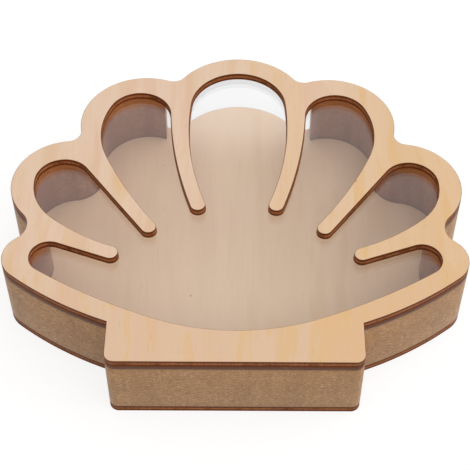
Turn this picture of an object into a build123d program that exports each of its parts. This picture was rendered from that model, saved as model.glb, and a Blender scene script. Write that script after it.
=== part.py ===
from build123d import *
import os
from collections import namedtuple
from math import asin, atan2, cos, hypot, pi, radians, sin

# A flat display box in the shape of a scallop shell, a glued stack of four cut sheets.
# Millimetres. The box lies on its back: +X across, +Y from the foot to the top lobe, +Z out
# through the window. The origin is the middle of the outline, on the back face.
# "out" is measured from the middle line, "up" from the foot's front edge. The left half
# mirrors the right half.

# Stack, from back to front
BACK_THICKNESS = 3.0
WALL_HEIGHT = 25.0
PANE_THICKNESS = 2.0
FRAME_THICKNESS = 3.0

# Wall and the loading slot through it at the top lobe
WALL_WIDTH = 7.2
SLOT_WIDTH = 63.4

# Outline: lobes
TOP_LOBE_UP = 128.8
TOP_LOBE_RADIUS = 29.2
UPPER_LOBE_OUT = 38.8
UPPER_LOBE_UP = 119.2
UPPER_LOBE_RADIUS = 26.5
SIDE_LOBE_OUT = 66.6
SIDE_LOBE_UP = 84.7
SIDE_LOBE_RADIUS = 23.4
LOW_LOBE_OUT = 78.0
LOW_LOBE_UP = 47.5
LOW_LOBE_RADIUS = 11.2

# Outline: rounded valleys between the lobes, the slightly bowed side down to the foot, the foot
TOP_VALLEY_RADIUS = 5.8
UPPER_VALLEY_RADIUS = 5.2
SIDE_VALLEY_RADIUS = 8.2
LOWER_SIDE_RADIUS = 140.0
FOOT_WIDTH = 94.4
FOOT_HEIGHT = 17.5
FOOT_CORNER_RADIUS = 3.6

# Window: widths of the frame's band along the lobes
TOP_BAND = 9.3
LOBE_BAND = 8.8
LOW_BAND = 10.4

# Window: the rounded end of each lobe, the direction from the lobe's centre in which its band
# is measured, and the flatter shoulder towards the next finger with the direction, in degrees
# anticlockwise from +X, in which the end goes over into it
UPPER_END_RADIUS = 13.1
UPPER_END_DIRECTION = 58.5
UPPER_SHOULDER_RADIUS = 34.0
UPPER_SHOULDER_DIRECTION = 26.0
SIDE_END_RADIUS = 11.2
SIDE_END_DIRECTION = 29.0
SIDE_SHOULDER_RADIUS = 23.4
SIDE_SHOULDER_DIRECTION = 6.0
LOW_END_RADIUS = 7.3

# Window: fingers between the lobes, from the top lobe outwards
FINGER_TIP_RADIUS = 3.0
FIRST_FINGER_OUT = 15.5
FIRST_FINGER_UP = 74.3
FIRST_FINGER_INNER_SIDE_RADIUS = 127.0
FIRST_FINGER_OUTER_SIDE_RADIUS = 187.0
SECOND_FINGER_OUT = 34.3
SECOND_FINGER_UP = 62.7
SECOND_FINGER_INNER_SIDE_RADIUS = 167.0
THIRD_FINGER_OUT = 48.2
THIRD_FINGER_UP = 49.9
THIRD_FINGER_INNER_SIDE_RADIUS = 81.0

# Window: bottom edge
BOTTOM_UP = 14.0
BOTTOM_RADIUS = 90.7
BOTTOM_SIDE_RADIUS = 232.0

OUTLINE_HEIGHT = TOP_LOBE_UP + TOP_LOBE_RADIUS
WALL_BASE = BACK_THICKNESS
PANE_BASE = WALL_BASE + WALL_HEIGHT
FRAME_BASE = PANE_BASE + PANE_THICKNESS

# Two turns of a path whose circles are nearer than this count as touching
TOUCHING = 1e-6

# A circle that an outline follows. The radius is negative where the path, clockwise as seen
# from the front, turns right round it, and positive where it turns left.
Turn = namedtuple("Turn", "x y radius")


def blend(first, second, radius):
    """The turn of a signed radius that leads smoothly from one turn to the next."""
    gap_x, gap_y = second.x - first.x, second.y - first.y
    gap = hypot(gap_x, gap_y)
    first_reach = abs(radius - first.radius)
    second_reach = abs(radius - second.radius)
    along = (gap**2 + first_reach**2 - second_reach**2) / (2 * gap)
    aside = (first_reach**2 - along**2) ** 0.5 * (1 if radius > 0 else -1)
    x = first.x + (along * gap_x - aside * gap_y) / gap
    y = first.y + (along * gap_y + aside * gap_x) / gap
    return Turn(x, y, radius)


def nested(outer, direction, band, radius):
    """A right turn inside another, with a band of a given width between them in one direction."""
    shift = -outer.radius - band - radius
    angle = radians(direction)
    return Turn(outer.x + shift * cos(angle), outer.y + shift * sin(angle), -radius)


def crossing(first, second):
    """Where a path leaves one turn and meets the next: one point, or the ends of a tangent line."""
    gap_x, gap_y = second.x - first.x, second.y - first.y
    gap = hypot(gap_x, gap_y)
    step = second.radius - first.radius
    if abs(gap - abs(step)) < TOUCHING:
        share = -first.radius / step
        point = (first.x + share * gap_x, first.y + share * gap_y)
        return point, point
    heading = atan2(gap_y, gap_x) - asin(step / gap)
    side_x, side_y = sin(heading), -cos(heading)
    leave = (first.x + first.radius * side_x, first.y + first.radius * side_y)
    arrive = (second.x + second.radius * side_x, second.y + second.radius * side_y)
    return leave, arrive


def arc(turn, start, end):
    """The arc round a turn from one point to another, in the turn's own direction."""
    start_angle = atan2(start[1] - turn.y, start[0] - turn.x)
    end_angle = atan2(end[1] - turn.y, end[0] - turn.x)
    sweep = (end_angle - start_angle) % (2 * pi)
    if turn.radius < 0:
        sweep -= 2 * pi
    middle_angle = start_angle + sweep / 2
    reach = abs(turn.radius)
    middle = (turn.x + reach * cos(middle_angle), turn.y + reach * sin(middle_angle))
    return ThreePointArc(start, middle, end)


def path(start, turns, end):
    """Edges from start to end round a list of turns, with a straight line across each gap."""
    edges = []
    for turn, follower in zip(turns, turns[1:]):
        leave, arrive = crossing(turn, follower)
        edges.append(arc(turn, start, leave))
        if leave != arrive:
            edges.append(Line(leave, arrive))
        start = arrive
    edges.append(arc(turns[-1], start, end))
    return edges


def whole_face(half):
    """The face inside a closed outline, from its right half and the same half mirrored."""
    return Face(Wire(half + [edge.mirror(Plane.YZ) for edge in half]))


TOP_LOBE = Turn(0, TOP_LOBE_UP, -TOP_LOBE_RADIUS)
UPPER_LOBE = Turn(UPPER_LOBE_OUT, UPPER_LOBE_UP, -UPPER_LOBE_RADIUS)
SIDE_LOBE = Turn(SIDE_LOBE_OUT, SIDE_LOBE_UP, -SIDE_LOBE_RADIUS)
LOW_LOBE = Turn(LOW_LOBE_OUT, LOW_LOBE_UP, -LOW_LOBE_RADIUS)


def shell_outline():
    """The outline that all four sheets share: seven lobes over a straight foot."""
    notch = Turn(FOOT_WIDTH / 2, FOOT_HEIGHT, 0)
    turns = [
        TOP_LOBE,
        blend(TOP_LOBE, UPPER_LOBE, TOP_VALLEY_RADIUS),
        UPPER_LOBE,
        blend(UPPER_LOBE, SIDE_LOBE, UPPER_VALLEY_RADIUS),
        SIDE_LOBE,
        blend(SIDE_LOBE, LOW_LOBE, SIDE_VALLEY_RADIUS),
        LOW_LOBE,
        blend(LOW_LOBE, notch, -LOWER_SIDE_RADIUS),
    ]
    half = path((0, OUTLINE_HEIGHT), turns, (notch.x, notch.y))
    corner = Turn(notch.x - FOOT_CORNER_RADIUS, FOOT_CORNER_RADIUS, -FOOT_CORNER_RADIUS)
    foot_side = Line((notch.x, notch.y), (notch.x, corner.y))
    foot_corner = arc(corner, (notch.x, corner.y), (corner.x, 0))
    foot_front = Line((corner.x, 0), (0, 0))
    return whole_face(half + [foot_side, foot_corner, foot_front])


def window_outline():
    """The window in the frame: seven lobes inside those of the outline, six fingers between."""
    top = Turn(0, TOP_LOBE_UP, TOP_BAND - TOP_LOBE_RADIUS)
    first_tip = Turn(FIRST_FINGER_OUT, FIRST_FINGER_UP, FINGER_TIP_RADIUS)
    upper = nested(UPPER_LOBE, UPPER_END_DIRECTION, LOBE_BAND, UPPER_END_RADIUS)
    upper_shoulder = nested(upper, UPPER_SHOULDER_DIRECTION, 0, UPPER_SHOULDER_RADIUS)
    second_tip = Turn(SECOND_FINGER_OUT, SECOND_FINGER_UP, FINGER_TIP_RADIUS)
    side = nested(SIDE_LOBE, SIDE_END_DIRECTION, LOBE_BAND, SIDE_END_RADIUS)
    side_shoulder = nested(side, SIDE_SHOULDER_DIRECTION, 0, SIDE_SHOULDER_RADIUS)
    third_tip = Turn(THIRD_FINGER_OUT, THIRD_FINGER_UP, FINGER_TIP_RADIUS)
    low = nested(LOW_LOBE, 0, LOW_BAND, LOW_END_RADIUS)
    bottom = Turn(0, BOTTOM_UP + BOTTOM_RADIUS, -BOTTOM_RADIUS)
    turns = [
        top,
        blend(top, first_tip, -FIRST_FINGER_INNER_SIDE_RADIUS),
        first_tip,
        blend(first_tip, upper, FIRST_FINGER_OUTER_SIDE_RADIUS),
        upper,
        upper_shoulder,
        blend(upper_shoulder, second_tip, -SECOND_FINGER_INNER_SIDE_RADIUS),
        second_tip,
        side,
        side_shoulder,
        blend(side_shoulder, third_tip, -THIRD_FINGER_INNER_SIDE_RADIUS),
        third_tip,
        low,
        blend(low, bottom, -BOTTOM_SIDE_RADIUS),
        bottom,
    ]
    return whole_face(path((0, top.y - top.radius), turns, (0, BOTTOM_UP)))


def loading_slot():
    """The stretch of the wall that is left out at the top lobe."""
    return Pos(0, TOP_LOBE_UP + TOP_LOBE_RADIUS / 2) * Rectangle(SLOT_WIDTH, TOP_LOBE_RADIUS)


def sheet(face, base, thickness):
    """A sheet of a given face and thickness, at its height in the stack."""
    return Pos(0, -OUTLINE_HEIGHT / 2, base) * extrude(face, thickness, dir=(0, 0, 1))


def front_frame():
    return sheet(shell_outline() - window_outline(), FRAME_BASE, FRAME_THICKNESS)


def window_pane():
    return sheet(shell_outline(), PANE_BASE, PANE_THICKNESS)


def wall_ring():
    outline = shell_outline()
    inside = offset(outline, -WALL_WIDTH)
    return sheet(outline - inside - loading_slot(), WALL_BASE, WALL_HEIGHT)


def back_plate():
    return sheet(shell_outline(), 0, BACK_THICKNESS)


os.makedirs("parts", exist_ok=True)
for make in (front_frame, window_pane, wall_ring, back_plate):
    export_step(make(), f"parts/{make.__name__}.step")
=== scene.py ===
"""A flat display box in the shape of a scallop shell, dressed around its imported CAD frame.

Four cut sheets lie glued in a stack: a plywood back plate, a thick fibreboard wall with a loading
slot, a clear acrylic pane and a plywood front frame. Lengths are metres, in the frame's axes:
+X across, +Y from the foot to the top lobe, +Z out through the window.
"""

from collections import namedtuple
from math import atan2, cos, hypot, pi, radians, sin

import bpy
import numpy as np
from bpy.props import FloatProperty, FloatVectorProperty, PointerProperty
from mathutils import Matrix, Vector
from mathutils.geometry import delaunay_2d_cdt


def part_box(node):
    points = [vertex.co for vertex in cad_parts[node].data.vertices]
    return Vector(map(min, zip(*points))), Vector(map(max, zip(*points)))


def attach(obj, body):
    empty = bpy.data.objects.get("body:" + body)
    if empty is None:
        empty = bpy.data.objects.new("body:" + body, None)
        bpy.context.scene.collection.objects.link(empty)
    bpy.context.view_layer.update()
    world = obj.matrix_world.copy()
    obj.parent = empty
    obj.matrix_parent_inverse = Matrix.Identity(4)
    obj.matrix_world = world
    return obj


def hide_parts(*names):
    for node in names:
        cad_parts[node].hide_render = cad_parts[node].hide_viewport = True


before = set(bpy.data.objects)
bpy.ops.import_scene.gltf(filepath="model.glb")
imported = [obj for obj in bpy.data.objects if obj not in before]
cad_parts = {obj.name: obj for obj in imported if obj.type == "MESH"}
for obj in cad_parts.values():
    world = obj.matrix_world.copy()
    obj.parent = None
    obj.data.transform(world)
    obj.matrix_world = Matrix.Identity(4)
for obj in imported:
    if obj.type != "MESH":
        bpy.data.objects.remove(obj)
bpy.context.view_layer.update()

bl_info = {
    "name": "Seashell Display Case",
    "version": (1, 0, 0),
    "blender": (4, 5, 0),
    "location": "View3D > Sidebar > Display Case",
    "description": "Builds the sheets, finishes and studio of a shell-shaped display case",
    "category": "Add Mesh",
}

MILLIMETRE = 0.001


# ---------------------------------------------------------------------------------------------
# Sizes and colours


def size(name, millimetres, description):
    """A length that the user may change, given in millimetres."""
    return FloatProperty(
        name=name,
        description=description,
        default=millimetres * MILLIMETRE,
        unit="LENGTH",
        precision=4,
    )


def direction(name, degrees, description):
    """A direction in the plane of the sheets, anticlockwise from +X."""
    return FloatProperty(
        name=name, description=description, default=radians(degrees), subtype="ANGLE"
    )


def colour(name, value, description):
    """A linear colour that the user may change."""
    return FloatVectorProperty(
        name=name, description=description, default=value, subtype="COLOR", min=0.0, max=1.0
    )


def amount(name, value, description):
    """A plain number that the user may change."""
    return FloatProperty(name=name, description=description, default=value)


class OutlineSizes(bpy.types.PropertyGroup):
    """The shell's outline, right half. Out is from the middle line, up from the foot's front."""

    top_lobe_up: size("Top lobe up", 128.8, "Centre of the top lobe's circle")
    top_lobe_radius: size("Top lobe radius", 29.2, "Radius of the top lobe")
    upper_lobe_out: size("Upper lobe out", 38.8, "Centre of the upper lobe's circle")
    upper_lobe_up: size("Upper lobe up", 119.2, "Centre of the upper lobe's circle")
    upper_lobe_radius: size("Upper lobe radius", 26.5, "Radius of the upper lobe")
    side_lobe_out: size("Side lobe out", 66.6, "Centre of the side lobe's circle")
    side_lobe_up: size("Side lobe up", 84.7, "Centre of the side lobe's circle")
    side_lobe_radius: size("Side lobe radius", 23.4, "Radius of the side lobe")
    low_lobe_out: size("Low lobe out", 78.0, "Centre of the low lobe's circle")
    low_lobe_up: size("Low lobe up", 47.5, "Centre of the low lobe's circle")
    low_lobe_radius: size("Low lobe radius", 11.2, "Radius of the low lobe")
    top_valley_radius: size("Top valley", 5.8, "Rounding between top and upper lobe")
    upper_valley_radius: size("Upper valley", 5.2, "Rounding between upper and side lobe")
    side_valley_radius: size("Side valley", 8.2, "Rounding between side and low lobe")
    lower_side_radius: size("Lower side", 140.0, "Bow of the side from low lobe to foot")
    foot_width: size("Foot width", 94.4, "Width of the straight foot")
    foot_height: size("Foot height", 17.5, "From the foot's front to the notch")
    foot_corner_radius: size("Foot corner", 3.6, "Rounding of the foot's front corners")
    wall_width: size("Wall width", 7.2, "Thickness of the wall, seen from the front")
    slot_width: size("Slot width", 63.4, "Clear width of the loading slot")


class WindowSizes(bpy.types.PropertyGroup):
    """The window in the front frame, right half, from the top lobe down."""

    top_band: size("Top band", 9.3, "Width of the frame along the top lobe")
    lobe_band: size("Lobe band", 8.8, "Width of the frame along the upper and side lobes")
    low_band: size("Low band", 10.4, "Width of the frame along the low lobe")
    upper_end_radius: size("Upper end", 13.1, "Rounded end of the upper lobe")
    upper_end_direction: direction("Upper end direction", 58.5, "Where its band is measured")
    upper_shoulder_radius: size("Upper shoulder", 34.0, "Flatter side of the upper lobe")
    upper_shoulder_direction: direction("Upper shoulder direction", 26.0, "Where it starts")
    side_end_radius: size("Side end", 11.2, "Rounded end of the side lobe")
    side_end_direction: direction("Side end direction", 29.0, "Where its band is measured")
    side_shoulder_radius: size("Side shoulder", 23.4, "Flatter side of the side lobe")
    side_shoulder_direction: direction("Side shoulder direction", 6.0, "Where it starts")
    low_end_radius: size("Low end", 7.3, "Rounded end of the low lobe")
    finger_tip_radius: size("Finger tip", 3.0, "Rounding of every finger's tip")
    first_finger_out: size("First finger out", 15.5, "Centre of its rounded tip")
    first_finger_up: size("First finger up", 74.3, "Centre of its rounded tip")
    first_inner_side_radius: size("First inner side", 127.0, "Bow of its side at the top lobe")
    first_outer_side_radius: size("First outer side", 187.0, "Bow of its other side")
    second_finger_out: size("Second finger out", 34.3, "Centre of its rounded tip")
    second_finger_up: size("Second finger up", 62.7, "Centre of its rounded tip")
    second_inner_side_radius: size("Second inner side", 167.0, "Bow of its inner side")
    third_finger_out: size("Third finger out", 48.2, "Centre of its rounded tip")
    third_finger_up: size("Third finger up", 49.9, "Centre of its rounded tip")
    third_inner_side_radius: size("Third inner side", 81.0, "Bow of its inner side")
    bottom_up: size("Bottom up", 14.0, "Lowest point of the window's bottom edge")
    bottom_radius: size("Bottom radius", 90.7, "Bow of the bottom edge in the middle")
    bottom_side_radius: size("Bottom side", 232.0, "Bow of the bottom edge towards the sides")


class SheetSizes(bpy.types.PropertyGroup):
    """Small sizes of the cut sheets."""

    arris: size("Arris", 0.15, "Rounding along every cut edge")
    inset: size("Inset", 0.02, "How far each sheet stays inside the drawn outline")
    outer_lean: size("Outer lean", 0.05, "How far the front frame's outer edge leans in upwards")
    window_lean: size("Window lean", 0.28, "How far the window's edge leans in downwards")
    glue_gap: size("Glue line", 0.04, "Gap at each face of the pane, filled by the glue")
    scorch_reach: size("Scorch reach", 1.6, "How far the scorch runs in from a cut edge")
    veneer: size("Veneer", 0.62, "Thickness of the plywood's outer plies")
    ply_step: size("Ply step", 0.03, "How far the core ply is burnt back behind the veneers")
    sampling: size("Sampling", 0.6, "Longest step along a curved edge")


class Finishes(bpy.types.PropertyGroup):
    """Colours of the sheets."""

    veneer_pale: colour("Veneer", (0.785, 0.582, 0.430), "Pale wood between the grain")
    back_pale: colour("Back veneer", (0.865, 0.645, 0.452), "Pale wood of the back plate")
    veneer_grain: colour("Grain", (0.735, 0.508, 0.328), "Darker streaks of the grain")
    back_grain: colour("Back grain", (0.800, 0.578, 0.392), "Faint streaks of the back plate")
    veneer_honey: colour("Honey", (0.765, 0.490, 0.238), "Yellower bands")
    veneer_rose: colour("Rose", (0.755, 0.492, 0.355), "Pinker bands")
    veneer_pore: colour("Pores", (0.50, 0.28, 0.15), "Fine pores along the grain")
    scorch_haze: colour("Scorch haze", (0.48, 0.33, 0.24), "Face by a cut edge")
    scorch: colour("Scorch", (0.165, 0.040, 0.009), "Burnt outer plies on a cut edge")
    core_ply: colour("Core ply", (0.40, 0.155, 0.060), "Middle ply on a cut edge")
    board: colour("Fibreboard", (0.465, 0.252, 0.108), "Cut face of the fibreboard")
    board_dark: colour("Fibreboard, dark", (0.270, 0.137, 0.063), "Blotches and streaks on it")
    board_fibre: colour("Fibres", (0.62, 0.42, 0.26), "Pale fibres on it")
    # Painted veil and shade: a purplish darker tint on the wall's inner side, for the pane's
    # reflection over it and the shade inside the case.
    board_painted_veil: colour("Soot", (0.325, 0.156, 0.145), "Smoky tint on the wall's inner side")
    # Painted bounce light: an orange glow high on the inner side, for light bounced under the frame
    # and the pane's reflection of its cut edge.
    board_painted_bounce: colour("Singe", (0.52, 0.20, 0.055), "Orange tint high up on the inner side")
    # Painted shade: darker low on the inner side, where the wall meets the back plate.
    board_painted_shade: colour("Smoke", (0.19, 0.105, 0.09), "Dark tint where the wall meets the back")
    acrylic: colour("Acrylic", (0.955, 0.965, 0.975), "Tint of the clear pane")
    # Painted shade: the clear pane's cut edge is drawn as an opaque dark brown, for the shaded case
    # seen into it.
    painted_acrylic_edge: colour("Acrylic edge", (0.125, 0.046, 0.021), "Cut edge of the pane")


class StudioSettings(bpy.types.PropertyGroup):
    """Camera, lamps and floor."""

    camera_place: FloatVectorProperty(
        name="Camera place",
        description="Where the camera stands",
        default=(0.002986, -0.330510, 0.411145),
        subtype="TRANSLATION",
        unit="LENGTH",
        precision=6,
    )
    camera_turn: FloatVectorProperty(
        name="Camera turn",
        description="How the camera is turned round X, Y and Z",
        default=(radians(39.3894), radians(-1.3668), radians(-0.5197)),
        subtype="EULER",
    )
    camera_lens: amount("Lens", 96.90, "Focal length in millimetres on a 36 mm wide sensor")
    camera_shift: amount("Shift", -0.0851, "Sideways shift, as a share of the picture's width")
    key_power: amount("Key lamp", 5.45, "Power of the broad lamp overhead, in watts")
    front_power: amount("Front lamp", 1.5, "Power of the small lamp in front, in watts")
    slot_power: amount("Slot lamp", 0.35, "Power of the low lamp behind the slot, in watts")
    rear_glow: amount("Rear glow", 0.15, "Strength that the sky gains low behind the object")
    rear_glare: amount("Rear glare", 1.05, "What reflections show on top of it, behind the slot")
    side_glow: amount("Side glow", 1.0, "Strength that the sky gains low on both sides")
    side_lean: amount("Side lean", 0.62, "How much stronger that is on the right")
    side_colour: colour("Side glow colour", (1.0, 0.95, 0.88), "Colour of the glow on the sides")
    sky_strength: amount("Sky", 0.365, "Strength of the light from all round")
    floor_colour: colour("Floor", (0.55, 0.55, 0.55), "Colour of the studio floor")
    floor_glow: amount("Floor glow", 0.79, "What the camera sees on top of the lit floor")
    pane_loss: amount("Pane loss", 0.18, "How much less of it shows through the pane")


# ---------------------------------------------------------------------------------------------
# Outlines, as turns round circles

# A circle that an outline follows. The radius is negative where the path, clockwise as seen
# from the front, turns right round it, and positive where it turns left.
Turn = namedtuple("Turn", "x y radius")

TOUCHING = 1e-9  # circles or points that are nearer than this touch each other
SMALL_TURN_STEP = 0.12  # of a turn's radius: the longest step round it, where that is shorter
STRAIGHT_STEPS = 4  # how many times longer a step may be along a straight line


def blend(first, second, radius):
    """The turn of a signed radius that leads smoothly from one turn to the next."""
    gap_x, gap_y = second.x - first.x, second.y - first.y
    gap = hypot(gap_x, gap_y)
    first_reach = abs(radius - first.radius)
    second_reach = abs(radius - second.radius)
    along = (gap**2 + first_reach**2 - second_reach**2) / (2 * gap)
    aside = (first_reach**2 - along**2) ** 0.5 * (1 if radius > 0 else -1)
    x = first.x + (along * gap_x - aside * gap_y) / gap
    y = first.y + (along * gap_y + aside * gap_x) / gap
    return Turn(x, y, radius)


def nested(outer, angle, band, radius):
    """A right turn inside another, with a band of a given width between them in one direction."""
    shift = -outer.radius - band - radius
    return Turn(outer.x + shift * cos(angle), outer.y + shift * sin(angle), -radius)


def crossing(first, second):
    """Where a path leaves one turn and meets the next: one point, or the ends of a tangent line."""
    gap = np.array([second.x - first.x, second.y - first.y])
    distance = hypot(*gap)
    step = second.radius - first.radius
    if abs(distance - abs(step)) < TOUCHING:
        point = np.array([first.x, first.y]) - first.radius / step * gap
        return point, point
    heading = atan2(gap[1], gap[0]) - np.arcsin(step / distance)
    side = np.array([sin(heading), -cos(heading)])
    leave = np.array([first.x, first.y]) + first.radius * side
    arrive = np.array([second.x, second.y]) + second.radius * side
    return leave, arrive


def arc(turn, start, end, sampling):
    """Points round a turn from start up to, but without, the end: centre + radius (cos, sin)."""
    if turn.radius == 0:
        return np.empty((0, 2))
    start_angle = atan2(start[1] - turn.y, start[0] - turn.x)
    end_angle = atan2(end[1] - turn.y, end[0] - turn.x)
    sweep = (end_angle - start_angle) % (2 * pi)
    if turn.radius < 0:
        sweep -= 2 * pi
    reach = abs(turn.radius)
    finest = min(sampling, SMALL_TURN_STEP * reach)
    count = max(2, round(abs(sweep) * reach / finest))
    angles = start_angle + sweep * np.arange(count) / count
    return np.column_stack([turn.x + reach * np.cos(angles), turn.y + reach * np.sin(angles)])


def straight(start, end, sampling):
    """Points along a straight line from start up to, but without, the end."""
    length = hypot(end[0] - start[0], end[1] - start[1])
    count = max(1, round(length / (STRAIGHT_STEPS * sampling)))
    share = np.arange(count)[:, None] / count
    return np.array(start) + share * (np.array(end) - np.array(start))


def path(start, turns, end, sampling):
    """Points from start up to the end round a list of turns, straight across each gap."""
    stretches = []
    for turn, follower in zip(turns, turns[1:]):
        leave, arrive = crossing(turn, follower)
        stretches.append(arc(turn, start, leave, sampling))
        if leave is not arrive:
            stretches.append(straight(leave, arrive, sampling))
        start = arrive
    stretches.append(arc(turns[-1], start, end, sampling))
    return np.vstack(stretches)


def mirrored(half):
    """A closed loop from its right half, whose first and last points lie on the middle line."""
    left = half[-2:0:-1] * [-1, 1]
    return np.vstack([half, left])


def lobes(outline):
    """The four circles of the outline's lobes, from the top lobe down."""
    return [
        Turn(0.0, outline.top_lobe_up, -outline.top_lobe_radius),
        Turn(outline.upper_lobe_out, outline.upper_lobe_up, -outline.upper_lobe_radius),
        Turn(outline.side_lobe_out, outline.side_lobe_up, -outline.side_lobe_radius),
        Turn(outline.low_lobe_out, outline.low_lobe_up, -outline.low_lobe_radius),
    ]


def shell_half(outline, sampling, inset=0.0):
    """The outline's right half from the top lobe to the foot, moved inwards by an inset.

    Every circle keeps its centre when the outline moves inwards, and its signed radius grows
    by the inset. The foot's corner is sharp where the inset is more than its radius."""
    top, upper, side, low = lobes(outline)
    notch = Turn(outline.foot_width / 2, outline.foot_height, 0.0)
    turns = [
        top,
        blend(top, upper, outline.top_valley_radius),
        upper,
        blend(upper, side, outline.upper_valley_radius),
        side,
        blend(side, low, outline.side_valley_radius),
        low,
        blend(low, notch, -outline.lower_side_radius),
        notch,
    ]
    turns = [Turn(turn.x, turn.y, turn.radius + inset) for turn in turns]
    foot_side = notch.x - inset
    corner_radius = max(outline.foot_corner_radius - inset, 0.0)
    corner = Turn(foot_side - corner_radius, inset + corner_radius, -corner_radius)
    corner_start = (foot_side, corner.y)
    corner_end = (corner.x, inset)
    start = (0.0, outline.top_lobe_up + outline.top_lobe_radius - inset)
    return np.vstack(
        [
            path(start, turns, (foot_side, notch.y), sampling),
            straight((foot_side, notch.y), corner_start, sampling),
            arc(corner, corner_start, corner_end, sampling),
            straight(corner_end, (0.0, inset), sampling),
            [(0.0, inset)],
        ]
    )


def shell_loop(outline, sampling):
    """The outline that all four sheets share, with seven lobes over a straight foot."""
    return mirrored(shell_half(outline, sampling))


def window_loop(outline, window, sampling):
    """The window: seven lobes inside those of the outline, with six fingers between them."""
    top_lobe, upper_lobe, side_lobe, low_lobe = lobes(outline)
    tip = window.finger_tip_radius
    top = Turn(0.0, top_lobe.y, window.top_band + top_lobe.radius)
    first_tip = Turn(window.first_finger_out, window.first_finger_up, tip)
    upper = nested(upper_lobe, window.upper_end_direction, window.lobe_band, window.upper_end_radius)
    upper_shoulder = nested(upper, window.upper_shoulder_direction, 0, window.upper_shoulder_radius)
    second_tip = Turn(window.second_finger_out, window.second_finger_up, tip)
    side = nested(side_lobe, window.side_end_direction, window.lobe_band, window.side_end_radius)
    side_shoulder = nested(side, window.side_shoulder_direction, 0, window.side_shoulder_radius)
    third_tip = Turn(window.third_finger_out, window.third_finger_up, tip)
    low = nested(low_lobe, 0, window.low_band, window.low_end_radius)
    bottom = Turn(0.0, window.bottom_up + window.bottom_radius, -window.bottom_radius)
    turns = [
        top,
        blend(top, first_tip, -window.first_inner_side_radius),
        first_tip,
        blend(first_tip, upper, window.first_outer_side_radius),
        upper,
        upper_shoulder,
        blend(upper_shoulder, second_tip, -window.second_inner_side_radius),
        second_tip,
        side,
        side_shoulder,
        blend(side_shoulder, third_tip, -window.third_inner_side_radius),
        third_tip,
        low,
        blend(low, bottom, -window.bottom_side_radius),
        bottom,
    ]
    end = (0.0, window.bottom_up)
    half = path((0.0, top.y - top.radius), turns, end, sampling)
    return mirrored(np.vstack([half, [end]]))


def wall_loop(outline, sampling, chord):
    """The wall in plan, and which of its points lie on the inner side.

    It runs round the outside from one end of the slot to the other, and back inside."""
    half_slot = outline.slot_width / 2

    def past_slot(half):
        """A half outline that starts where it passes the slot's end, found on its own line.

        A straight chord leads from there, so that flat margins meet at the corner unfolded."""
        first = np.argmax(half[:, 0] > half_slot)
        before, after = half[first - 1], half[first]
        share = (half_slot - before[0]) / (after[0] - before[0])
        start = before + share * (after - before)
        return np.vstack([start, half[np.argmax(half[:, 0] > half_slot + chord) :]])

    outside = past_slot(shell_half(outline, sampling))
    inside = past_slot(shell_half(outline, sampling, outline.wall_width))
    mirror = [-1, 1]
    loop = np.vstack([outside, (outside * mirror)[-2::-1], inside * mirror, inside[-2::-1]])
    return loop, np.arange(len(loop)) >= 2 * len(outside) - 1


# ---------------------------------------------------------------------------------------------
# Meshes

SHARP_ANGLE = radians(40)  # faces that meet at more than this keep a sharp edge

MARGIN_SHARES = (1.0, 0.4)  # of the scorch's reach: where the rows of a face's flat margin lie

SLOT_CHORD_SHARE = 1.5  # of the scorch's reach: length of the wall's chord beside the slot

INSIDE_PAST_HOLES = 2  # the fill that keeps the triangles inside an outline and outside its holes


def add_object(name, data):
    """A new object in the scene."""
    made = bpy.data.objects.new(name, data)
    bpy.context.scene.collection.objects.link(made)
    return made


def outward_normals(loop):
    """At each point, the mitred normal that points out of the solid, which lies left of the path."""
    along = np.roll(loop, -1, axis=0) - loop
    along /= np.hypot(along[:, 0], along[:, 1])[:, None]
    normal = np.column_stack([along[:, 1], -along[:, 0]])
    before = np.roll(normal, 1, axis=0)
    mitre = normal + before
    return mitre / (1 + np.sum(normal * before, axis=1))[:, None]


def turned(loop, outside):
    """The loop in the order that keeps the solid on its left: anticlockwise for an outside edge."""
    x, y = loop.T
    area = np.sum(x * np.roll(y, -1) - np.roll(x, -1) * y)
    return loop if (area > 0) == outside else loop[::-1]


def rounded_edge(bottom, top, sheets, relief=(), inset=0.0):
    """Rows up a cut edge: flat margin below, quarter-round arris, relief, arris, flat margin.

    Each quarter round is the arc of radius arris that leads from the flat face into the edge.
    A row is how far the edge is set in, and its level."""
    angles = np.radians([0, 30, 60, 90])
    step = sheets.arris * (1 - np.cos(angles))
    rise = sheets.arris * (1 - np.sin(angles))
    lower = list(zip(step[::-1], bottom + rise[::-1]))
    upper = list(zip(step, top - rise))
    margin = [share * sheets.scorch_reach for share in MARGIN_SHARES]
    rows = [(depth, bottom) for depth in margin] + lower + list(relief) + upper
    rows += [(depth, top) for depth in margin[::-1]]
    return [(depth + inset, level) for depth, level in rows]


def moved(loop, distance):
    """The loop moved out of the solid that lies on its left."""
    return loop + distance * outward_normals(loop)


def filled(plan, rings, upwards):
    """Triangles between rings of points in the plane, as a constrained Delaunay triangulation.

    A ring is the numbers of its points. Every triangle turns anticlockwise where it faces
    upwards, and clockwise where it doesn't."""
    numbers = np.concatenate(rings)
    starts = np.cumsum([0] + [len(ring) for ring in rings])
    loops = [list(range(start, end)) for start, end in zip(starts, starts[1:])]
    spots = [Vector(spot) for spot in plan[numbers].tolist()]
    found = delaunay_2d_cdt(spots, [], loops, INSIDE_PAST_HOLES, TOUCHING)
    triangles, sources = found[2], found[3]
    faces = numbers[[source[0] for source in sources]][np.array(triangles)]
    a, b, c = (plan[faces[:, k]] for k in range(3))
    ab, ac = b - a, c - a
    turns_left = ab[:, 0] * ac[:, 1] - ab[:, 1] * ac[:, 0] > 0
    faces[turns_left != upwards] = faces[turns_left != upwards][:, ::-1]
    return faces


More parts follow.
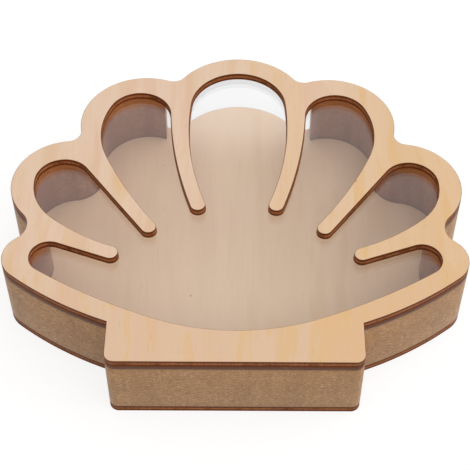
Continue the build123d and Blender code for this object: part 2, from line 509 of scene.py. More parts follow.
def carried(loop, edge_rows, lean):
    """A loop's points at every row up the edge, as an array of rows x points x 3.

    A point is loop point - (inset + lean x rise) x outward normal, at its row's height, where
    rise is the share of the way from the lowest row to the highest."""
    insets, heights = np.array(edge_rows).T
    rise = (heights - heights[0]) / (heights[-1] - heights[0])
    depth = (insets + lean * rise)[:, None, None]
    plan = loop[None] - depth * outward_normals(loop)[None]
    level = np.broadcast_to(heights[:, None, None], (*plan.shape[:2], 1))
    return np.concatenate([plan, level], axis=2)


def strips(numbers):
    """Four-cornered faces between the rows of a grid of point numbers that closes on itself."""
    ahead = np.roll(numbers, -1, axis=1)
    faces = [numbers[:-1], ahead[:-1], ahead[1:], numbers[1:]]
    return np.stack(faces, axis=2).reshape(-1, 4)


def keep_shares(mesh, name, shares):
    """Keeps a number for each point in the mesh, for its materials to read."""
    mesh.attributes.new(name, "FLOAT", "POINT").data.foreach_set("value", shares)


def sheet_mesh(name, loops, edge_rows, materials, leans=(0.0,), inside=None):
    """A flat sheet: edge rows carried along every loop, and both faces filled between loops.

    materials are those of the faces and of the cut edge. The attribute "scorch" is 1 at a cut
    edge and falls to 0 at the inner row of the flat margin. The attribute "inside" is 1 at the
    points of the first loop that a mask picks out."""
    row_count = len(edge_rows)
    sizes = [len(loop) for loop in loops]
    grids = [carried(loop, edge_rows, lean) for loop, lean in zip(loops, leans)]
    points = np.vstack([grid.reshape(-1, 3) for grid in grids])
    first = np.cumsum([0] + [row_count * count for count in sizes])
    numbers = [np.arange(a, b).reshape(row_count, -1) for a, b in zip(first, first[1:])]
    edges = np.vstack([strips(grid) for grid in numbers])
    plan = points[:, :2]
    below = filled(plan, [grid[0] for grid in numbers], False)
    above = filled(plan, [grid[-1] for grid in numbers], True)
    caps = np.vstack([below, above])
    mesh = bpy.data.meshes.new(name)
    mesh.from_pydata(points.tolist(), [], edges.tolist() + caps.tolist())

    margin_rows = len(MARGIN_SHARES)
    flat_rows = np.zeros(row_count - 1, bool)
    flat_rows[:margin_rows] = flat_rows[-margin_rows:] = True
    flat = np.concatenate(
        [np.repeat(flat_rows, count) for count in sizes] + [np.ones(len(caps), bool)]
    )
    mesh.polygons.foreach_set("material_index", np.where(flat, 0, 1))
    mesh.polygons.foreach_set("use_smooth", np.ones(len(flat), bool))
    fade = np.ones(row_count)
    fade[:margin_rows] = 1 - np.array(MARGIN_SHARES)
    fade[-margin_rows:] = fade[:margin_rows][::-1]
    keep_shares(mesh, "scorch", np.concatenate([np.repeat(fade, count) for count in sizes]))
    if inside is not None:
        keep_shares(mesh, "inside", np.tile(inside.astype(float), row_count))
    for material in materials:
        mesh.materials.append(material)
    mesh.set_sharp_from_angle(angle=SHARP_ANGLE)
    mesh.validate()
    return add_object(name, mesh)


def centred(loop, outline):
    """A loop moved from the foot's front edge to the frame's origin, the middle of the outline."""
    height = outline.top_lobe_up + outline.top_lobe_radius
    return loop - [0, height / 2]


def stand_in(piece, node):
    """Puts a piece in its CAD node's stead."""
    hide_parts(node)
    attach(piece, "root")


# ---------------------------------------------------------------------------------------------
# Shader nodes

MIX_FIRST, MIX_SECOND, MIX_RESULT = 6, 7, 2  # a Mix node's colour sockets, which share their names
WHITE = (1.0, 1.0, 1.0, 1.0)
BLACK = (0.0, 0.0, 0.0, 1.0)
SURFACE_OUTPUTS = {"Color": "Color", "Roughness": "Float", "Height": "Float"}


def feed(tree, socket, value):
    """Sets a socket to a plain value, or links it to the socket that gives the value."""
    if isinstance(value, bpy.types.NodeSocket):
        tree.links.new(value, socket)
    else:
        socket.default_value = value


def shader_node(tree, kind, values=None, **settings):
    """A shader node; each of its values is a plain value or the socket that feeds it."""
    made = tree.nodes.new(kind)
    for name, setting in settings.items():
        setattr(made, name, setting)
    for name, value in (values or {}).items():
        feed(tree, made.inputs[name], value)
    return made


def maths(tree, operation, first, second=0.0, clamp=False):
    """The result of a Math node."""
    values = {0: first, 1: second}
    made = shader_node(tree, "ShaderNodeMath", values, operation=operation, use_clamp=clamp)
    return made.outputs[0]


def product(tree, first, *others):
    """Values multiplied together, in their order."""
    for other in others:
        first = maths(tree, "MULTIPLY", first, other)
    return first


def ramp(tree, value, low, high):
    """0 where the value is below low, 1 above high, smooth between; high may be the lower one."""
    values = {"Value": value, "From Min": low, "From Max": high}
    made = shader_node(
        tree, "ShaderNodeMapRange", values, interpolation_type="SMOOTHSTEP", clamp=True
    )
    return made.outputs["Result"]


def mixed(tree, share, first, second, blend_type="MIX"):
    """One colour laid over another by a share."""
    values = {"Factor": share, MIX_FIRST: first, MIX_SECOND: second}
    settings = {"data_type": "RGBA", "blend_type": blend_type, "clamp_factor": True}
    return shader_node(tree, "ShaderNodeMix", values, **settings).outputs[MIX_RESULT]


def laid(tree, tone, layers):
    """A tone with colours laid over it, one after another.

    A layer is a colour and the masks and shares whose product says how strongly it shows."""
    for tint, *shares in layers:
        tone = mixed(tree, product(tree, *shares), tone, tint)
    return tone


def around_zero(tree, pattern):
    """A pattern between 0 and 1, moved to lie between -0.5 and 0.5."""
    return maths(tree, "SUBTRACT", pattern, 0.5)


def scaled(tree, vector, scale, shift=(0, 0, 0)):
    """Coordinates in metres turned into pattern steps per metre along each axis."""
    values = {"Vector": vector, "Scale": scale, "Location": shift}
    return shader_node(tree, "ShaderNodeMapping", values).outputs["Vector"]


def noise(tree, vector, scale, detail=2.0, roughness=0.5, shift=(0, 0, 0)):
    """A noise pattern between 0 and 1, with its own number of steps per metre on each axis."""
    values = {
        "Vector": scaled(tree, vector, scale, shift),
        "Scale": 1.0,
        "Detail": detail,
        "Roughness": roughness,
    }
    return shader_node(tree, "ShaderNodeTexNoise", values).outputs[0]


def node_group(name, inputs, outputs):
    """An empty shader node group with its input and output nodes."""
    tree = bpy.data.node_groups.new(name, "ShaderNodeTree")
    for label, kind in inputs.items():
        tree.interface.new_socket(label, in_out="INPUT", socket_type="NodeSocket" + kind)
    for label, kind in outputs.items():
        tree.interface.new_socket(label, in_out="OUTPUT", socket_type="NodeSocket" + kind)
    return tree, tree.nodes.new("NodeGroupInput").outputs, tree.nodes.new("NodeGroupOutput")


def give_out(tree, output, sockets):
    """Links sockets to a group's outputs."""
    for name, socket in sockets.items():
        tree.links.new(socket, output.inputs[name])


def kept_group(name, make):
    """The node group of a name, built once and then used by every material that needs it."""
    return bpy.data.node_groups.get(name) or make(name)


def veneer_grain(name):
    """Rotary-cut veneer: soft bands, fine streaks and pores along Y, honey and rose flames.

    On top of these come a warmer right side, a warm ribbon right of the middle, a foot darkened
    as painted shade, with honey licks, and a sharp-edged warm strip at the foot's right."""
    tree, given, output = node_group(
        name,
        {
            "Vector": "Vector",
            "Pale": "Color",
            "Grain": "Color",
            "Honey": "Color",
            "Rose": "Color",
            "Pore": "Color",
            "Figure": "Float",
        },
        SURFACE_OUTPUTS,
    )
    sway = around_zero(tree, noise(tree, given["Vector"], (30, 11, 30), 1.0))
    aside = shader_node(
        tree, "ShaderNodeCombineXYZ", {"X": product(tree, sway, 0.012)}
    ).outputs[0]
    grain = shader_node(
        tree, "ShaderNodeVectorMath", {0: given["Vector"], 1: aside}, operation="ADD"
    ).outputs[0]
    axes = shader_node(tree, "ShaderNodeSeparateXYZ", {0: given["Vector"]}).outputs
    across, along = axes["X"], axes["Y"]
    bands = noise(tree, grain, (130, 9, 130), 3.0, 0.55)
    streaks = noise(tree, grain, (900, 30, 900), 4.0, 0.6)
    pores = noise(tree, grain, (2300, 170, 2300), 2.0, 0.5)
    tint = noise(tree, grain, (48, 13, 48), 2.0, 0.5, (3, 1, 0))
    tint = maths(tree, "ADD", tint, product(tree, across, 1.1))
    flame = noise(tree, grain, (170, 24, 170), 2.0, 0.5, (7, 5, 2))
    lick = noise(tree, grain, (210, 34, 210), 2.0, 0.5, (2, 9, 4))

    right = maths(tree, "SUBTRACT", across, product(tree, along, 0.2))
    right = ramp(tree, right, 0.01, 0.07)
    ribbon = product(
        tree,
        ramp(tree, across, 0.006, 0.014),
        ramp(tree, across, 0.036, 0.026),
        ramp(tree, along, -0.045, -0.020),
    )
    # Painted shade: the face grows darker towards the foot, where it catches less light than the
    # top.
    foot = ramp(tree, along, -0.020, -0.070)
    strip = product(tree, ramp(tree, across, 0.0300, 0.0312), ramp(tree, along, -0.030, -0.060))
    honey = product(tree, ramp(tree, tint, 0.50, 0.62), ramp(tree, flame, 0.45, 0.6))
    licks = product(tree, ramp(tree, lick, 0.53, 0.60), ramp(tree, along, 0.010, -0.050))
    rose = product(tree, ramp(tree, tint, 0.48, 0.38), ramp(tree, flame, 0.42, 0.62))
    pore = ramp(tree, pores, 0.66, 0.76)
    figure = given["Figure"]
    layers = [
        (given["Grain"], ramp(tree, bands, 0.42, 0.68), figure),
        (given["Honey"], right, 0.65, figure),
        (given["Honey"], ribbon, 0.38, figure),
        # Painted shade towards the foot.
        (given["Grain"], foot, 0.8, figure),
        (given["Honey"], strip, 0.95, figure),
        (given["Rose"], strip, 0.35, figure),
        (given["Honey"], honey, figure),
        (given["Honey"], licks, 0.75, figure),
        (given["Rose"], rose, 0.65, figure),
        (given["Grain"], ramp(tree, streaks, 0.45, 0.75), 0.42),
        (given["Pore"], pore, 0.28),
    ]
    rough = maths(tree, "ADD", 0.5, product(tree, streaks, 0.16))
    height = maths(tree, "SUBTRACT", streaks, pore)
    tone = laid(tree, given["Pale"], layers)
    give_out(tree, output, {"Color": tone, "Roughness": rough, "Height": height})
    return tree


def level_in_sheet(tree, given):
    """How far up its sheet a point lies: 0 on the back face, 1 on the front face."""
    z = shader_node(tree, "ShaderNodeSeparateXYZ", {0: given["Vector"]}).outputs["Z"]
    return maths(tree, "DIVIDE", maths(tree, "SUBTRACT", z, given["Back"]), given["Thickness"])


def wavering(tree, level, pattern, reach):
    """A level that a pattern shifts up and down by half a reach."""
    return maths(tree, "ADD", level, product(tree, around_zero(tree, pattern), reach))


def scorched_plies(name):
    """Laser-cut plywood edge: burnt outer plies, a lighter core ply, ragged joints, soot streaks.

    The layers follow the height above the sheet's back face as a share of its thickness."""
    tree, given, output = node_group(
        name,
        {
            "Vector": "Vector",
            "Back": "Float",
            "Thickness": "Float",
            "Outer ply": "Color",
            "Core ply": "Color",
        },
        SURFACE_OUTPUTS,
    )
    ragged = noise(tree, given["Vector"], (420, 420, 90), 3.0, 0.6)
    level = wavering(tree, level_in_sheet(tree, given), ragged, 0.16)
    char = noise(tree, given["Vector"], (190, 190, 300), 3.0, 0.55, (4, 0, 2))
    core = product(
        tree,
        ramp(tree, level, 0.27, 0.40),
        ramp(tree, level, 0.76, 0.64),
        ramp(tree, char, 0.25, 0.55),
    )
    soot = noise(tree, given["Vector"], (2400, 2400, 160), 2.0, 0.6)
    shade = maths(tree, "ADD", 0.65, product(tree, ramp(tree, soot, 0.72, 0.38), 0.35))
    shade = shader_node(tree, "ShaderNodeCombineXYZ", {"X": shade, "Y": shade, "Z": shade})
    tone = mixed(tree, core, given["Outer ply"], given["Core ply"])
    tone = mixed(tree, 1.0, tone, shade.outputs[0], "MULTIPLY")
    rough = maths(tree, "ADD", 0.42, product(tree, core, 0.25))
    give_out(tree, output, {"Color": tone, "Roughness": rough, "Height": soot})
    return tree


def cut_fibreboard(name):
    """Cut fibreboard: matted pale fibres, dark blotches and a burnt band by each face.

    Where the attribute "inside" is 1, light and shade are painted on it: a purplish darker veil
    for the pane's reflection and the shade inside, an orange glow of bounced light high up, and
    painted shade low down."""
    tree, given, output = node_group(
        name,
        {
            "Vector": "Vector",
            "Back": "Float",
            "Thickness": "Float",
            "Board": "Color",
            "Dark": "Color",
            "Fibre": "Color",
            "Soot": "Color",
            "Singe": "Color",
            "Smoke": "Color",
        },
        SURFACE_OUTPUTS,
    )
    drift = noise(tree, given["Vector"], (70, 70, 70), 3.0, 0.6)
    level = wavering(tree, level_in_sheet(tree, given), drift, 0.08)
    clouds = noise(tree, given["Vector"], (75, 75, 150), 4.0, 0.6)
    mottle = noise(tree, given["Vector"], (480, 480, 1500), 4.0, 0.7, (3, 1, 4))
    fibres = noise(tree, given["Vector"], (800, 800, 2400), 3.0, 0.65, (1, 7, 2))
    streaks = noise(tree, given["Vector"], (900, 900, 26), 3.0, 0.6)
    broad = noise(tree, given["Vector"], (120, 120, 14), 3.0, 0.55, (5, 2, 0))
    inside = shader_node(tree, "ShaderNodeAttribute", attribute_name="inside").outputs["Fac"]

    broad_share = maths(tree, "ADD", 0.15, product(tree, inside, 0.7))
    heart = product(tree, ramp(tree, level, 0.30, 0.48), ramp(tree, level, 0.78, 0.60))
    burnt = maths(tree, "ADD", ramp(tree, level, 0.05, -0.02), ramp(tree, level, 0.93, 1.02))
    # Painted shade: grows low on the inner side towards the corner with the back plate.
    painted_nook_shade = maths(
        tree,
        "ADD",
        product(tree, ramp(tree, level, 0.42, -0.02), 0.28),
        product(tree, ramp(tree, level, 0.10, 0.04), 0.22),
    )
    layers = [
        (given["Dark"], ramp(tree, clouds, 0.40, 0.70), 0.35),
        (given["Dark"], ramp(tree, mottle, 0.47, 0.64), 0.85),
        (given["Dark"], ramp(tree, streaks, 0.48, 0.75), 0.30),
        (given["Fibre"], ramp(tree, fibres, 0.54, 0.66)),
        (given["Dark"], ramp(tree, broad, 0.44, 0.60), broad_share),
        (given["Dark"], heart, 0.12),
        (given["Dark"], burnt, 0.5),
        # Painted veil and shade over the whole inner side: the pane's reflection and the shade
        # inside.
        (given["Soot"], inside, 0.5),
        # Painted bounce light and reflection, orange, high up on the inner side under the frame.
        (given["Singe"], ramp(tree, level, 0.66, 0.86), inside, 0.8),
        # Painted shade low down on the inner side, by the corner with the back plate.
        (given["Smoke"], inside, painted_nook_shade),
    ]
    tone = laid(tree, given["Board"], layers)
    rough = maths(tree, "ADD", 0.45, product(tree, mottle, 0.2))
    height = maths(tree, "SUBTRACT", fibres, product(tree, mottle, 0.6))
    give_out(tree, output, {"Color": tone, "Roughness": rough, "Height": height})
    return tree


def stray_specks(name):
    """Sparse small specks, as of sawdust: the cores of some cells of a scattered pattern."""
    tree, given, output = node_group(
        name, {"Vector": "Vector", "Cells": "Float", "Size": "Float"}, {"Mask": "Float"}
    )
    cells = shader_node(
        tree, "ShaderNodeTexVoronoi", {"Vector": given["Vector"], "Scale": given["Cells"]}
    )
    lot = shader_node(tree, "ShaderNodeSeparateColor", {0: cells.outputs["Color"]}).outputs[0]
    reach = product(tree, given["Size"], ramp(tree, lot, 0.72, 1.0))
    near = maths(tree, "LESS_THAN", cells.outputs["Distance"], reach)
    give_out(tree, output, {"Mask": near})
    return tree


def edge_scorch(name):
    """Scorch that creeps in from a cut edge on a sheet's face, by the attribute "scorch"."""
    tree, given, output = node_group(
        name, {"Vector": "Vector", "Strength": "Float"}, {"Mask": "Float"}
    )
    near = shader_node(tree, "ShaderNodeAttribute", attribute_name="scorch").outputs["Fac"]
    creep = noise(tree, given["Vector"], (260, 260, 260), 2.0, 0.5)
    mask = ramp(tree, wavering(tree, near, creep, 0.3), 0.70, 1.05)
    mask = maths(tree, "MULTIPLY", mask, given["Strength"], clamp=True)
    give_out(tree, output, {"Mask": mask})
    return tree


def placed(tree, name, make, values):
    """A material's copy of a shared group, with its own values."""
    group = kept_group(name, make)
    return shader_node(tree, "ShaderNodeGroup", values, node_tree=group).outputs


def opaque(linear):
    """A linear colour with full alpha."""
    return (*linear, 1.0)


# ---------------------------------------------------------------------------------------------
# Materials

ACRYLIC_IOR = 1.49

# How far each pattern is raised, in metres
GRAIN_DEPTH = 0.00004
PLY_EDGE_DEPTH = 0.00005
BOARD_DEPTH = 0.00008
PANE_WAVE_DEPTH = 0.0001
RIPPLE_DEPTH = 0.00004

# Specks of dust: cells per metre, of which some hold a speck
FACE_SPECK_CELLS = 62.0
PANE_SPECK_CELLS = 95.0
PANE_SPECK_SIZE = 0.022


def blank_material(name):
    """A material with only its output, and where its pattern is read: the piece's own place."""
    material = bpy.data.materials.new(name)
    material.use_nodes = True
    tree = material.node_tree
    tree.nodes.clear()
    surface = tree.nodes.new("ShaderNodeOutputMaterial").inputs["Surface"]
    where = tree.nodes.new("ShaderNodeTexCoord").outputs["Object"]
    return material, tree, surface, where


def principled(tree, values):
    """A Principled BSDF with its own values."""
    return shader_node(tree, "ShaderNodeBsdfPrincipled", values).outputs[0]


def rays_that_see(tree):
    """Light Path's outputs, and 1 for the rays of the camera, of mirrors and through glass."""
    rays = tree.nodes.new("ShaderNodeLightPath").outputs
    seen = maths(tree, "MAXIMUM", rays["Is Camera Ray"], rays["Is Glossy Ray"])
    return rays, maths(tree, "MAXIMUM", seen, rays["Is Transmission Ray"])


def bumped(tree, height, distance, strength=1.0):
    """The normal of a pattern raised by a distance."""
    values = {"Height": height, "Distance": distance, "Strength": strength}
    return shader_node(tree, "ShaderNodeBump", values).outputs["Normal"]


def plywood_face(name, finish, woods, shift, figure, scorch, specks):
    """A sanded plywood face: grain in two woods, scorch at the cut edges, a few specks of dust.

    shift moves the pattern, figure and scorch say how strongly the grain's bands and the
    scorch show, and specks how large the specks grow, as a share of their cells."""
    pale, streak = woods
    material, tree, surface, where = blank_material(name)
    where = scaled(tree, where, (1, 1, 1), shift)
    grain = placed(
        tree,
        "Veneer grain",
        veneer_grain,
        {
            "Vector": where,
            "Pale": opaque(pale),
            "Grain": opaque(streak),
            "Honey": opaque(finish.veneer_honey),
            "Rose": opaque(finish.veneer_rose),
            "Pore": opaque(finish.veneer_pore),
            "Figure": figure,
        },
    )
    burnt = placed(tree, "Edge scorch", edge_scorch, {"Vector": where, "Strength": scorch})
    dust = {"Vector": where, "Cells": FACE_SPECK_CELLS, "Size": specks}
    dust = placed(tree, "Stray specks", stray_specks, dust)
    layers = [
        (opaque(finish.scorch_haze), burnt["Mask"]),
        (opaque(finish.scorch), dust["Mask"], 0.45),
    ]
    values = {
        "Base Color": laid(tree, grain["Color"], layers),
        "Roughness": grain["Roughness"],
        "Normal": bumped(tree, grain["Height"], GRAIN_DEPTH),
        "Specular IOR Level": 0.35,
    }
    tree.links.new(principled(tree, values), surface)
    return material


def plywood_edge(name, finish, back, thickness):
    """A laser-cut plywood edge."""
    material, tree, surface, where = blank_material(name)
    edge = placed(
        tree,
        "Scorched plies",
        scorched_plies,
        {
            "Vector": where,
            "Back": back,
            "Thickness": thickness,
            "Outer ply": opaque(finish.scorch),
            "Core ply": opaque(finish.core_ply),
        },
    )
    values = {
        "Base Color": edge["Color"],
        "Roughness": edge["Roughness"],
        "Normal": bumped(tree, edge["Height"], PLY_EDGE_DEPTH),
        "Specular IOR Level": 0.08,
    }
    tree.links.new(principled(tree, values), surface)
    return material


def fibreboard(name, finish, back, thickness):
    """Raw fibreboard, as cut."""
    material, tree, surface, where = blank_material(name)
    board = placed(
        tree,
        "Cut fibreboard",
        cut_fibreboard,
        {
            "Vector": where,
            "Back": back,
            "Thickness": thickness,
            "Board": opaque(finish.board),
            "Dark": opaque(finish.board_dark),
            "Fibre": opaque(finish.board_fibre),
            "Soot": opaque(finish.board_painted_veil),
            "Singe": opaque(finish.board_painted_bounce),
            "Smoke": opaque(finish.board_painted_shade),
        },
    )
    values = {
        "Base Color": board["Color"],
        "Roughness": board["Roughness"],
        "Normal": bumped(tree, board["Height"], BOARD_DEPTH),
        "Specular IOR Level": 0.4,
        "Sheen Weight": 0.15,
        "Sheen Roughness": 0.35,
    }
    tree.links.new(principled(tree, values), surface)
    return material


def clear_acrylic(name, finish):
    """Clear sheet, faintly wavy, that lets lamps and bounced light through to the inside."""
    material, tree, surface, where = blank_material(name)
    waves = noise(tree, where, (14, 14, 14), 1.0)
    dust = {"Vector": where, "Cells": PANE_SPECK_CELLS, "Size": PANE_SPECK_SIZE}
    dust = placed(tree, "Stray specks", stray_specks, dust)
    specks = [(opaque(finish.board_dark), dust["Mask"], 0.4)]
    values = {
        "Base Color": laid(tree, opaque(finish.acrylic), specks),
        "Roughness": 0.0,
        "IOR": ACRYLIC_IOR,
        "Transmission Weight": 1.0,
        "Normal": bumped(tree, waves, PANE_WAVE_DEPTH),
    }
    sheet = principled(tree, values)
    rays = tree.nodes.new("ShaderNodeLightPath").outputs
    through = tree.nodes.new("ShaderNodeBsdfTransparent").outputs[0]
    for kind in ("Is Diffuse Ray", "Is Shadow Ray"):
        sheet = shader_node(
            tree, "ShaderNodeMixShader", {0: rays[kind], 1: sheet, 2: through}
        ).outputs[0]
    tree.links.new(sheet, surface)
    return material


def painted_acrylic_edge(name, finish):
    """The pane's flame-smooth cut edge with faint cutting ripples, drawn opaque and dark brown:
    painted shade for the shaded case seen into the clear edge.
    """
    material, tree, surface, where = blank_material(name)
    ripples = noise(tree, where, (1300, 1300, 40), 2.0, 0.5)
    # Painted shade: darker patches on the edge, as of deeper shade seen into it.
    depth = noise(tree, where, (120, 120, 240), 3.0, 0.6)
    painted_depths = [(opaque(finish.board_dark), ramp(tree, depth, 0.55, 0.9))]
    values = {
        "Base Color": laid(tree, opaque(finish.painted_acrylic_edge), painted_depths),
        "Roughness": maths(tree, "ADD", 0.3, product(tree, ripples, 0.2)),
        "IOR": ACRYLIC_IOR,
        "Specular IOR Level": 0.2,
        "Normal": bumped(tree, ripples, RIPPLE_DEPTH),
    }
    tree.links.new(principled(tree, values), surface)
    return material


def pale_floor(name, studio):
    """A matt floor that the camera and mirrors see paler, and with a fainter shadow, than it is."""
    material, tree, surface, where = blank_material(name)
    rays, seen = rays_that_see(tree)
    grain = noise(tree, where, (300, 300, 300), 2.0)
    layers = [(WHITE, grain, 0.02), (BLACK, seen, 0.5)]
    values = {
        "Base Color": laid(tree, opaque(studio.floor_colour), layers),
        "Roughness": 1.0,
        "Specular IOR Level": 0.0,
    }
    dimmed = product(tree, rays["Is Transmission Ray"], studio.pane_loss)
    strength = maths(tree, "SUBTRACT", product(tree, seen, studio.floor_glow), dimmed)
    glow = shader_node(tree, "ShaderNodeEmission", {"Color": WHITE, "Strength": strength})
    both = {0: principled(tree, values), 1: glow.outputs[0]}
    tree.links.new(shader_node(tree, "ShaderNodeAddShader", both).outputs[0], surface)
    return material


# ---------------------------------------------------------------------------------------------
# Pieces


def ply_relief(sheets, bottom, top):
    """Rows up a plywood edge, where the core ply is burnt back a little behind the outer plies."""
    lip = sheets.ply_step
    low, high = bottom + sheets.veneer, top - sheets.veneer
    return [(0.0, low - lip), (lip, low + lip), (lip, high - lip), (0.0, high + lip)]


def span(node):
    """The lowest and highest level of a CAD node."""
    low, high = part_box(node)
    return low.z, high.z


class DISPLAYCASE_OT_front_frame(bpy.types.Operator):
    """Add the plywood front frame with its lobed window and six fingers"""

    bl_idname = "display_case.front_frame"
    bl_label = "Front frame"

    def execute(self, context):
        case = context.scene.display_case
        bottom, top = span("front_frame")
        sampling = case.sheets.sampling
        relief = ply_relief(case.sheets, bottom, top)
        rows = rounded_edge(bottom, top, case.sheets, relief, case.sheets.inset)
        shell = turned(shell_loop(case.outline, sampling), True)
        window = turned(window_loop(case.outline, case.window, sampling), False)
        window = moved(window, case.sheets.inset + case.sheets.window_lean)
        loops = [centred(loop, case.outline) for loop in (shell, window)]
        finish = case.finishes
        woods = (finish.veneer_pale, finish.veneer_grain)
        face = {"shift": (0.0, 0.0, 0.0), "figure": 0.9, "scorch": 0.14, "specks": 0.03}
        materials = [
            plywood_face("Plywood face", finish, woods, **face),
            plywood_edge("Plywood edge", finish, bottom, top - bottom),
        ]
        leans = (case.sheets.outer_lean, case.sheets.window_lean)
        piece = sheet_mesh("Front_frame_sheet", loops, rows, materials, leans)
        stand_in(piece, "front_frame")
        return {"FINISHED"}


class DISPLAYCASE_OT_window_pane(bpy.types.Operator):
    """Add the clear acrylic pane"""

    bl_idname = "display_case.window_pane"
    bl_label = "Window pane"

    def execute(self, context):
        case = context.scene.display_case
        bottom, top = span("window_pane")
        gap = case.sheets.glue_gap
        rows = rounded_edge(bottom + gap, top - gap, case.sheets, inset=gap)
        shell = turned(shell_loop(case.outline, case.sheets.sampling), True)
        materials = [
            clear_acrylic("Clear acrylic", case.finishes),
            painted_acrylic_edge("Acrylic edge", case.finishes),
        ]
        loops = [centred(shell, case.outline)]
        piece = sheet_mesh("Window_pane_sheet", loops, rows, materials)
        stand_in(piece, "window_pane")
        return {"FINISHED"}


class DISPLAYCASE_OT_wall(bpy.types.Operator):
    """Add the thick fibreboard wall with the loading slot at the top lobe"""

    bl_idname = "display_case.wall"
    bl_label = "Wall"

    def execute(self, context):
        case = context.scene.display_case
        bottom, top = span("wall_ring")
        rows = rounded_edge(bottom, top, case.sheets, inset=case.sheets.inset)
        chord = SLOT_CHORD_SHARE * case.sheets.scorch_reach
        clockwise, inside = wall_loop(case.outline, case.sheets.sampling, chord)
        loop = centred(turned(clockwise, True), case.outline)
        board = fibreboard("Fibreboard", case.finishes, bottom, top - bottom)
        piece = sheet_mesh("Wall_ring", [loop], rows, [board, board], inside=inside[::-1])
        stand_in(piece, "wall_ring")
        return {"FINISHED"}


class DISPLAYCASE_OT_back_plate(bpy.types.Operator):
    """Add the plywood back plate"""

    bl_idname = "display_case.back_plate"
    bl_label = "Back plate"

    def execute(self, context):
        case = context.scene.display_case
        bottom, top = span("back_plate")
        relief = ply_relief(case.sheets, bottom, top)
        rows = rounded_edge(bottom, top, case.sheets, relief, case.sheets.inset)
        shell = turned(shell_loop(case.outline, case.sheets.sampling), True)
        finish = case.finishes
        woods = (finish.back_pale, finish.back_grain)
        face = {"shift": (0.0, 0.12, 0.7), "figure": 0.25, "scorch": 0.14, "specks": 0.055}
        materials = [
            plywood_face("Back plywood face", finish, woods, **face),
            plywood_edge("Back plywood edge", finish, bottom, top - bottom),
        ]
        loops = [centred(shell, case.outline)]
        piece = sheet_mesh("Back_plate_sheet", loops, rows, materials)
        stand_in(piece, "back_plate")
        return {"FINISHED"}


SENSOR_WIDTH = 36.0  # millimetres
FLOOR_REACH = 4.0  # metres from the middle to each side
FLOOR_LEVEL = -0.00005  # just under the back plate, so that the two never meet

# A lamp's name, place, width and the setting that holds its power
LAMPS = (
    ("Key_lamp", (0.36, 0.10, 1.08), 1.9, "key_power"),
    ("Front_lamp", (0.0, -0.80, 0.85), 0.45, "front_power"),
    ("Slot_lamp", (0.0, 0.75, 0.17), 0.35, "slot_power"),
)


def add_camera(studio):
    """The scene's camera, at the photograph's viewing angle."""
    data = bpy.data.cameras.new("Camera")
    data.lens = studio.camera_lens
    data.sensor_width = SENSOR_WIDTH
    data.shift_x = studio.camera_shift
    data.clip_start = 0.01
    camera = add_object("Camera", data)
    camera.location = studio.camera_place
    camera.rotation_euler = studio.camera_turn
    bpy.context.scene.camera = camera


def add_lamp(name, where, width, power):
    """A round soft lamp that faces the origin and shows in no reflection."""
    data = bpy.data.lights.new(name, "AREA")
    data.shape = "DISK"
    data.size = width
    data.energy = power
    lamp = add_object(name, data)
    lamp.visible_glossy = False
    lamp.visible_transmission = False
    lamp.visible_camera = False
    turn = (-Vector(where)).to_track_quat("-Z", "Y").to_matrix().to_4x4()
    lamp.matrix_world = Matrix.Translation(where) @ turn


def add_floor(studio):
    """A large square floor under the object."""
    mesh = bpy.data.meshes.new("Studio floor")
    sides = [(-1, -1), (1, -1), (1, 1), (-1, 1)]
    spots = [(FLOOR_REACH * x, FLOOR_REACH * y, FLOOR_LEVEL) for x, y in sides]
    mesh.from_pydata(spots, [], [(0, 1, 2, 3)])
    mesh.materials.append(pale_floor("Studio floor", studio))
    floor = add_object("Studio_floor", mesh)


def background(tree, tint, strength):
    """A sky of one colour and strength."""
    values = {"Color": tint, "Strength": strength}
    return shader_node(tree, "ShaderNodeBackground", values).outputs[0]


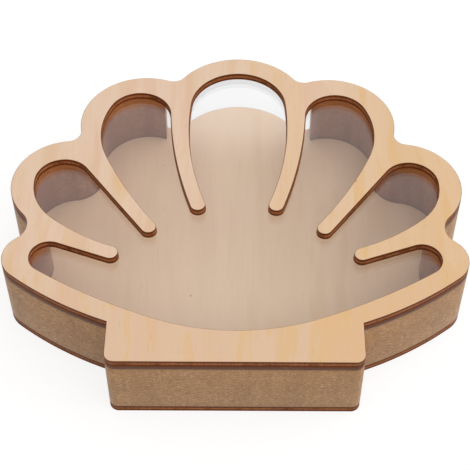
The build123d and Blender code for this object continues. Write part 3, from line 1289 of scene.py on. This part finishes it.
def studio_sky(studio):
    """The world: an even grey light with a warm glow low on both sides, before a white backdrop.

    Camera, mirror and glass rays meet the backdrop. Low behind, the sky is a little brighter,
    except straight ahead of the camera. Mirrors also meet a bright strip there, which veils the
    pane above the slot."""
    world = bpy.data.worlds.new("Studio sky")
    world.use_nodes = True
    tree = world.node_tree
    tree.nodes.clear()
    rays, seen = rays_that_see(tree)
    toward = tree.nodes.new("ShaderNodeTexCoord").outputs["Generated"]
    toward = shader_node(tree, "ShaderNodeSeparateXYZ", {0: toward}).outputs
    aside = maths(tree, "ABSOLUTE", toward["X"])
    behind = ramp(tree, toward["Y"], 0.2, 0.6)
    in_line = maths(tree, "MAXIMUM", rays["Is Camera Ray"], rays["Is Transmission Ray"])
    low_behind = product(
        tree,
        behind,
        ramp(tree, toward["Z"], 0.78, 0.66),
        studio.rear_glow,
        maths(tree, "SUBTRACT", 1.0, in_line),
    )
    glare = product(
        tree,
        ramp(tree, aside, 0.062, 0.044),
        ramp(tree, toward["Z"], 0.738, 0.716),
        behind,
        studio.rear_glare,
        rays["Is Glossy Ray"],
    )
    beside = product(
        tree,
        ramp(tree, aside, 0.1, 0.8),
        ramp(tree, toward["Z"], 0.75, 0.45),
        maths(tree, "ADD", 1.0, product(tree, toward["X"], studio.side_lean)),
        studio.side_glow,
    )
    even = background(tree, WHITE, maths(tree, "ADD", low_behind, studio.sky_strength))
    warm = background(tree, opaque(studio.side_colour), beside)
    light = shader_node(tree, "ShaderNodeAddShader", {0: even, 1: warm}).outputs[0]
    strength = maths(tree, "ADD", maths(tree, "ADD", low_behind, glare), 1.0)
    backdrop = background(tree, WHITE, strength)
    sky = shader_node(tree, "ShaderNodeMixShader", {0: seen, 1: light, 2: backdrop}).outputs[0]
    tree.links.new(sky, tree.nodes.new("ShaderNodeOutputWorld").inputs["Surface"])
    return world


class DISPLAYCASE_OT_studio(bpy.types.Operator):
    """Add the camera, the lamps, the floor and the sky"""

    bl_idname = "display_case.studio"
    bl_label = "Studio"

    def execute(self, context):
        studio = context.scene.display_case.studio
        add_camera(studio)
        for name, where, width, power in LAMPS:
            add_lamp(name, where, width, getattr(studio, power))
        add_floor(studio)
        context.scene.world = studio_sky(studio)
        context.scene.view_settings.view_transform = "Standard"
        return {"FINISHED"}


class DisplayCase(bpy.types.PropertyGroup):
    """All that a user may change."""

    outline: PointerProperty(type=OutlineSizes)
    window: PointerProperty(type=WindowSizes)
    sheets: PointerProperty(type=SheetSizes)
    finishes: PointerProperty(type=Finishes)
    studio: PointerProperty(type=StudioSettings)


STEPS = (
    DISPLAYCASE_OT_studio,
    DISPLAYCASE_OT_back_plate,
    DISPLAYCASE_OT_wall,
    DISPLAYCASE_OT_window_pane,
    DISPLAYCASE_OT_front_frame,
)


class DISPLAYCASE_PT_pieces(bpy.types.Panel):
    """Lists the pieces and the studio"""

    bl_label = "Seashell display case"
    bl_space_type = "VIEW_3D"
    bl_region_type = "UI"
    bl_category = "Display Case"

    def draw(self, context):
        for step in STEPS:
            self.layout.operator(step.bl_idname)
        case = context.scene.display_case
        for part in (case.outline, case.window, case.sheets, case.finishes, case.studio):
            box = self.layout.box()
            for name in part.__annotations__:
                box.prop(part, name)


CLASSES = (
    OutlineSizes,
    WindowSizes,
    SheetSizes,
    Finishes,
    StudioSettings,
    DisplayCase,
    *STEPS,
    DISPLAYCASE_PT_pieces,
)


def register():
    for kind in CLASSES:
        bpy.utils.register_class(kind)
    bpy.types.Scene.display_case = PointerProperty(type=DisplayCase)


def unregister():
    del bpy.types.Scene.display_case
    for kind in reversed(CLASSES):
        bpy.utils.unregister_class(kind)


def main():
    """Builds the whole scene."""
    register()
    for step in STEPS:
        family, action = step.bl_idname.split(".")
        getattr(getattr(bpy.ops, family), action)()


if __name__ == "__main__":
    main()
